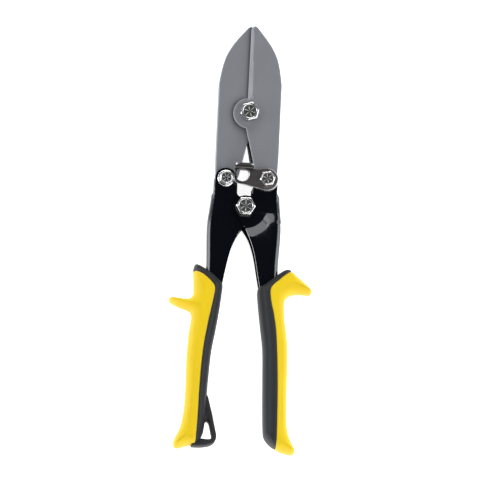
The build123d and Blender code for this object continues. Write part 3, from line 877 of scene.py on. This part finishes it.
def blade_outline(lip):
    """The right-hand blade from the front, in mm, anticlockwise from the outside of its tail."""
    hip = (HALF_WIDTH, LINK[1] + 14)
    side = evenly(np.array([(17.7, LINK[1]), hip, (HALF_WIDTH, SHOULDER)]), 0.8)
    nose = curve([(HALF_WIDTH, SHOULDER), (16.6, TIP - 25.0), (14.7, TIP - 18.2), (11.6, TIP - 12.2),
                  (8.2, TIP - 7.4), (3.9, TIP - 2.2), (2.7, TIP - 0.75), (1.3, TIP - 0.01),
                  (0.1, TIP - 0.4), (-1.0, TIP - 1.7)], 0.35)
    meeting = evenly(np.array([(-1.0, TIP - 1.7), (-1.2, EAR[1] + EAR_RADIUS)]), 0.8)
    ear = arc(EAR, EAR_RADIUS, 95, 262, 0.5)
    lip_end = (LINK[0] - TAIL_RADIUS - lip, LINK[1] + 2.4)
    waist = evenly(np.array([(-1.55, EAR[1] - EAR_RADIUS + 0.1), lip_end]), 0.7)
    tail = arc(LINK, TAIL_RADIUS, 170, 360, 0.5)
    return joined(side, nose, meeting, ear, waist, tail)


def rim_wear_and_sheen(moved):
    """Rim lightening, partly from rubbing and partly painted highlight: 1 right at the rim and on the
    wall's corners, falling to 0 half a millimetre inside.
    """
    return np.exp(-((moved / 0.42) ** 2)) * (moved > 0) + 0.35 * (moved == 0)


def add_blade(name, side, level, ground, lip):
    """One blade at a level; ground is 1 or -1 for the face whose meeting edge is ground off."""
    def rim(moved):
        away = np.clip(moved / BLADE_EASE, 0, 1)
        return BLADE_EASE * (1 - np.sqrt(1 - (1 - away) ** 2))

    def slope(points):
        above = points[..., 1] - EAR[1] - EAR_RADIUS
        share = 1.0 - 0.45 * np.clip(above / (TIP - EAR[1] - EAR_RADIUS), 0, 1)
        started = np.clip((above + 0.6) / 0.6, 0, 1)
        run = points[..., 0] * side + 1.0
        return BEVEL_DROP * share * np.clip(1 - run / (BEVEL_RUN * share), 0, 1) * started

    # Painted highlight, partly uncoated steel: the ground slope gets 0.5 and the rims get the rim
    # lightening.
    def wear_and_sheen_values(rings, moved):
        on_bevel = slope(rings) > 0.02
        return np.where(on_bevel & (ground != 0), 0.5, rim_wear_and_sheen(moved))

    outline = blade_outline(lip) * np.array([side, 1])
    high = MIDDLE_MM + level + BLADE_HALF
    low = MIDDLE_MM + level - BLADE_HALF
    return solid_from_outline(
        name + "_skin", outline, BLADE_DEPTHS,
        lambda points, moved: high - rim(moved) - (slope(points) if ground > 0 else 0),
        lambda points, moved: low + rim(moved) + (slope(points) if ground < 0 else 0),
        "blade_steel", name.split("_")[0] + "_jaw", [name], rub=wear_and_sheen_values, wall=2,
        reach=0.7,
    )


for name, side, level, ground, lip in BLADES:
    add_blade(name, side, level, ground, lip)

# %% [markdown]
# ## Bolts and nuts
#
# A bolt is one stack of rings from the end of its shank to the middle of its head. A ring is a
# circle on the shank and a hexagon on the head, where the radius at an angle is
# `apothem / cos(angle from the middle of the side)`. A crown turned on the top cuts the corners
# to a circle. The head is dished, with six ribs that run from the middle to the rim.

# %% Bolts and nuts
ROUND = np.linspace(0, 2 * math.pi, 216, endpoint=False)
CROWN = 1.09
DISH_RINGS = 16
FLANGE_HEIGHT = 1.2


def hexagon_reach(flats, turn):
    """Distance to the side of a hexagon for every angle, with the corners eased a little."""
    angle = (ROUND - math.radians(turn)) % (math.pi / 3) - math.pi / 6
    reach = flats / 2 / np.cos(angle)
    return np.minimum(reach, flats / 2 / math.cos(math.pi / 6) * 0.985)


def ring_at(place, reach, height):
    """One ring of points at a height in mm; reach and height are numbers or one value per angle."""
    reach, height = np.broadcast_to(reach, ROUND.shape), np.broadcast_to(height, ROUND.shape)
    return np.stack([place[0] + reach * np.cos(ROUND), place[1] + reach * np.sin(ROUND), height], axis=1)


def head_wall(flats, turn, low, high, ease):
    """Rings up the side of a hexagon and over its turned crown: (reach, height) pairs."""
    side = hexagon_reach(flats, turn)
    crown = flats / 2 * CROWN
    drop = np.maximum(side - crown, 0) * 0.62
    pairs = [(side - 0.12, low), (side, low + 0.12), (side, high - ease - drop)]
    for share in (0.3, 0.6, 1.0):
        bend = math.sin(share * math.pi / 2)
        inside = side + (np.minimum(side, crown) - side) * share
        pairs.append((inside - 0.12 * share, high - (ease + drop) * (1 - bend) - ease * share * 0.6))
    return pairs


def add_bolt(name, place, body, flats, turn, shank, seat, top, rim, flange=0.0):
    """Shank, optional round flange, hexagonal head, dish and ribs, as one closed piece."""
    pairs = [(0.3, 0.0), (shank - 0.5, 0.0), (shank, 0.5), (shank, seat - 0.01), (shank + 0.4, seat)]
    low = seat
    if flange:
        low = seat + FLANGE_HEIGHT
        pairs += [(flange - 0.15, seat), (flange, seat + 0.2), (flange, low - 0.35)]
        pairs += [(flange - 0.3, low - 0.05), (flange - 0.9, low)]
    pairs += head_wall(flats, turn, low, top, 0.45)
    dish = flats / 2 - rim
    outer = np.minimum(hexagon_reach(flats, turn), flats / 2 * CROWN) - 0.16
    for share in np.linspace(0.1, 1.0, 9):
        arch = abs(2 * share - 1) ** 2.4
        pairs.append((outer + (dish - outer) * share, top - 0.28 * arch))
    turned = ROUND - math.radians(turn + 30)
    spoke = np.abs((turned + math.pi / 6) % (math.pi / 3) - math.pi / 6)
    hollow = [np.zeros_like(ROUND)] * len(pairs)
    for index in range(DISH_RINGS):
        reach = dish * (1 - index / (DISH_RINGS - 0.4))
        edge = reach / dish
        off = reach * np.sin(spoke)
        span = math.exp(-(((edge - 0.55) / 0.33) ** 4))
        rib = np.exp(-((off / (0.16 + 0.14 * edge)) ** 4)) * span
        depth = 1.0 - 0.1 * edge
        pairs.append((reach, top - depth + 0.75 * depth * rib))
        hollow.append(np.clip(1.1 - 0.95 * rib, 0, 1) * np.ones_like(ROUND))
    rings = np.stack([ring_at(place, reach, height) for reach, height in pairs])
    skin(name + "_skin", rings * MM, "bright_nickel", body, [name], hollow=np.stack(hollow))


def add_nut(name, place, body, flats, turn, bore, seat):
    """A hexagonal nut under the tool, crowned on its outer face, with an eased bore."""
    upright = head_wall(flats, turn, 0.0, seat, 0.35)
    inner = (upright[-1][0] - bore) * 0.5 + bore
    pairs = [(bore, seat - 0.35), (bore, 0.35), (bore + 0.35, 0.02), (inner, 0.0)]
    pairs += [(reach, seat - height) for reach, height in upright[::-1]]
    pairs += [(bore + 0.3, seat)]
    rings = np.stack([ring_at(place, reach, height) for reach, height in pairs])
    skin(name + "_skin", rings * MM, "bright_nickel", body, [name], loop=True,
         hollow=np.stack([np.full_like(ROUND, 0.9 if k < 2 else 0.0) for k in range(len(pairs))]))


LEFT_LINK = (-LINK[0], LINK[1])
# name, place, body, flats, turn in degrees, shank radius, seat, top, rim, flange radius
BOLTS = [
    ("jaw_pivot_bolt", JAW, "right_jaw", 10.0, 17, 3.0, 6.0, 10.2, 1.2, 0.0),
    ("handle_pivot_bolt", HANDLE, "right_handle", 10.0, 0, 3.0, 8.0, 12.0, 1.2, 0.0),
    ("left_link_bolt", LEFT_LINK, "left_handle", 6.8, 30, 2.5, 6.0, 10.4, 0.6, 4.9),
    ("right_link_bolt", LINK, "right_handle", 8.0, 12, 2.5, 10.04, 13.84, 0.85, 0.0),
]
# name, place, body, flats, turn in degrees, bore radius, seat
NUTS = [
    ("jaw_pivot_nut", JAW, "right_jaw", 10.0, 8, 3.02, 6.0),
    ("handle_pivot_nut", HANDLE, "right_handle", 10.0, 24, 3.02, 8.0),
    ("left_link_nut", LEFT_LINK, "left_handle", 8.0, 5, 2.52, 6.0),
    ("right_link_nut", LINK, "right_handle", 8.0, 19, 2.52, 8.0),
]
for name, place, body, flats, turn, shank, seat, top, rim, flange in BOLTS:
    add_bolt(name, place, body, flats, turn, shank, MIDDLE_MM + seat, MIDDLE_MM + top, rim, flange)
for name, place, body, flats, turn, bore, seat in NUTS:
    add_nut(name, place, body, flats, turn, bore, MIDDLE_MM - seat)

# %% [markdown]
# ## The latch
#
# The latch is a stamped strut: an outline round the right link bolt, with a hole through it and a
# tab bent up at its free end. The plate is a band between the hole and the outline, worked out
# along rays from the middle of the hole. The tab is one cross-section, a quarter bend and an
# upright, swept across the latch, with its top corners rounded.

# %% Latch
LATCH_LOW = MIDDLE_MM + 8.42
LATCH_HIGH = MIDDLE_MM + 10.02
LATCH_END = -7.1
HOLE = (-2.7, LINK[1] + 1.9)
HOLE_RADIUS = 3.7
PLATE_POINTS = 320
PLATE_EASE = 0.7
PLATE_MARKS = [0.0, 0.1, 0.3, 0.7]
TAB_CORNER = 2.0
TAB_TOP = LATCH_HIGH + 5.0
TAB_END = 3.6
TAB_OUT = LINK[1] + 8.2


def latch_outline():
    """The flat part of the latch from the front, in mm, anticlockwise."""
    x, y = LINK
    end = evenly(np.array([(LATCH_END, y + 6.4), (LATCH_END, y - 1.2)]), 0.3)
    corner = curve([(LATCH_END, y - 1.2), (LATCH_END + 0.4, y - 2.5), (LATCH_END + 1.5, y - 3.0),
                    (1.0, y - 4.3), (10.1, y - 6.37)], 0.3)
    turn = arc(LINK, 6.6, 255 - 360, 90, 0.4)
    back = curve([(x, y + 6.6), (9.2, y + 6.15), (6.9, y + 6.0), (4.6, y + 6.2),
                  (TAB_END, y + 6.6)], 0.3)
    top = evenly(np.array([(TAB_END, y + 6.6), (LATCH_END, y + 6.6)]), 0.3)
    return joined(end, corner, turn, back, top)


def add_latch_plate():
    """The plate, with both rims eased by a quarter round of PLATE_EASE."""
    centre = np.array(HOLE)
    angle = np.linspace(0, 2 * math.pi, PLATE_POINTS, endpoint=False)
    outside = at_angles(latch_outline(), centre, PLATE_POINTS)
    inside = centre + HOLE_RADIUS * np.stack([np.cos(angle), np.sin(angle)], axis=1)
    span = np.linalg.norm(outside - inside, axis=1)
    rings, rub = [], []
    steps = [("in", mark) for mark in PLATE_MARKS]
    steps += [("mid", share) for share in np.linspace(0.12, 0.88, 8)]
    steps += [("out", mark) for mark in PLATE_MARKS[::-1]]
    for high in (True, False):
        layer, wear_and_sheen_values = [], []
        for kind, value in steps:
            share = {"in": value / span, "mid": np.full_like(span, value), "out": 1 - value / span}[kind]
            flat = inside + (outside - inside) * share[:, None]
            away = min(value / PLATE_EASE, 1.0) if kind != "mid" else 1.0
            fall = PLATE_EASE * (1 - math.sqrt(1 - (1 - away) ** 2))
            level = LATCH_HIGH - fall if high else LATCH_LOW + fall
            layer.append(np.concatenate([flat, np.full((len(flat), 1), level)], axis=1))
            # Both rims get 1, which paints them bright: partly polish, partly painted highlight.
            wear_and_sheen_values.append(np.full(len(flat), 1.0 if kind != "mid" and value < 0.5 else 0.0))
        rings += layer if high else layer[::-1]
        rub += wear_and_sheen_values if high else wear_and_sheen_values[::-1]
    skin("latch_plate", np.stack(rings) * MM, "dark_nickel", "latch", ["latch"], loop=True,
         rub=np.stack(rub))


def add_latch_tab():
    """Bend and upright: the section's middle line is a quarter circle and a straight line."""
    half = (LATCH_HIGH - LATCH_LOW) / 2
    radius = 1.5
    across = np.linspace(LATCH_END, TAB_END, 28)
    turn = np.linspace(0, math.pi / 2, 9)
    middle_y = TAB_OUT - half
    start_y = middle_y - radius
    level = (LATCH_HIGH + LATCH_LOW) / 2
    path = [(start_y - 1.2, level)]
    path += [(start_y + radius * math.sin(t), level + radius * (1 - math.cos(t))) for t in turn]
    path += [(middle_y, height) for height in np.linspace(level + radius + 0.5, TAB_TOP, 9)]
    path = np.array(path)
    along = np.gradient(path, axis=0)
    along /= np.linalg.norm(along, axis=1)[:, None]
    normal = np.stack([along[:, 1], -along[:, 0]], axis=1)
    thick = np.full(len(path), half)
    thick[-1], thick[-2] = half * 0.55, half * 0.92
    section = np.concatenate([path + normal * thick[:, None], (path - normal * thick[:, None])[::-1]])
    edge = np.minimum(across - across[0], across[-1] - across)
    cut = np.maximum(TAB_CORNER - edge, 0)
    top = TAB_TOP - TAB_CORNER + np.sqrt(TAB_CORNER**2 - cut**2)
    base = level + radius
    rings, rub = [], []
    for x, high in zip(across, top):
        rise = section[:, 1]
        height = np.where(rise > base, base + (rise - base) * (high - base) / (TAB_TOP - base), rise)
        rings.append(np.stack([np.full(len(section), x), section[:, 0], height], axis=1))
        # Painted highlight along the top rim of the tab, brightest at its two corners.
        near = np.clip(1 - (high - height) / 0.6, 0, 1)
        corner_glint = math.exp(-((min(x - across[0], across[-1] - x) / 1.2) ** 2))
        rub.append(near * (0.03 + 0.97 * corner_glint))
    skin("latch_tab", np.stack(rings) * MM, "dark_nickel", "latch", rub=np.stack(rub))


add_latch_plate()
add_latch_tab()

# %% [markdown]
# ## The two stamped handles
#
# The channels are already measured in full, bends and all. Here each one is copied, its loose
# triangles are joined and its flat parts cleared of needless edges, and its sharp rims are
# rounded so that they catch the light.

# %% Handles
def add_handle(node, body):
    """A copy of a measured channel with its rims rounded by a Bevel modifier."""
    mesh = nodes[node].data.copy()
    mesh.name = node + "_skin"
    work = bmesh.new()
    work.from_mesh(mesh)
    bmesh.ops.remove_doubles(work, verts=work.verts, dist=1e-6)
    bmesh.ops.dissolve_limit(work, angle_limit=math.radians(0.02), verts=work.verts, edges=work.edges)
    bmesh.ops.recalc_face_normals(work, faces=work.faces)
    work.to_mesh(mesh)
    work.free()
    piece = bpy.data.objects.new(mesh.name, mesh)
    bpy.context.collection.objects.link(piece)
    mesh.shade_smooth()
    mesh.set_sharp_from_angle(angle=math.radians(16))
    ease = piece.modifiers.new("ease", "BEVEL")
    ease.width = 0.34 * MM
    ease.segments = 2
    ease.limit_method = "ANGLE"
    ease.angle_limit = math.radians(38)
    ease.harden_normals = True
    mesh.materials.clear()
    mesh.materials.append(finishes["handle_enamel"])
    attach(piece, body)
    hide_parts(node)
    print(node, "copied with", len(mesh.polygons), "faces")


add_handle("right_handle_frame", "right_handle")
add_handle("left_handle_frame", "left_handle")

# %% [markdown]
# ## The return spring
#
# A torsion spring is coiled round the pivot sleeve, and its two legs press outwards against the
# two channels. The middle line is a helix with a straight leg at each end, and the wire is a ring
# carried along it.

# %% Return spring
COIL_RADIUS = 4.7
WIRE_RADIUS = 0.7
LEG_LENGTH = 26.6
LEG_LEAN = math.radians(30.6)
COIL_HEIGHT = 6.8


def add_spring():
    """Three turns and the angle between the legs, while the height climbs evenly.

    Each leg leaves the coil along its tangent.
    """
    radius, wire, leg, lean, height = COIL_RADIUS, WIRE_RADIUS, LEG_LENGTH, LEG_LEAN, COIL_HEIGHT
    turns = 3 + (math.pi - 2 * lean) / (2 * math.pi)
    start = math.pi - lean
    share = np.linspace(0, 1, 260)
    angle = start - share * turns * 2 * math.pi
    coil = np.stack([radius * np.cos(angle), radius * np.sin(angle), (share - 0.5) * height], axis=1)
    path = [coil]
    for side in (-1, 1):
        foot = np.array([side * radius * math.cos(lean), radius * math.sin(lean), side * height / 2])
        way = np.array([side * math.sin(lean), -math.cos(lean), 0.0])
        straight = foot + way * np.linspace(0, leg, 40)[1:, None]
        path = [straight[::-1]] + path if side < 0 else path + [straight]
    path = np.vstack(path)
    along = np.gradient(path, axis=0)
    along /= np.linalg.norm(along, axis=1)[:, None]
    side_way = np.cross(along, [0, 0, 1.0])
    side_way /= np.linalg.norm(side_way, axis=1)[:, None]
    up_way = np.cross(side_way, along)
    turn = np.linspace(0, 2 * math.pi, 14, endpoint=False)
    taper = np.full(len(path), wire)
    taper[[0, -1]] = wire * 0.7
    rings = path[:, None] + taper[:, None, None] * (
        np.cos(turn)[None, :, None] * side_way[:, None] + np.sin(turn)[None, :, None] * up_way[:, None])
    rings += np.array([HANDLE[0], HANDLE[1], MIDDLE_MM])
    spring = skin("return_spring_skin", rings * MM, "spring_steel", None, ["return_spring"])
    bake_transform(spring)


add_spring()
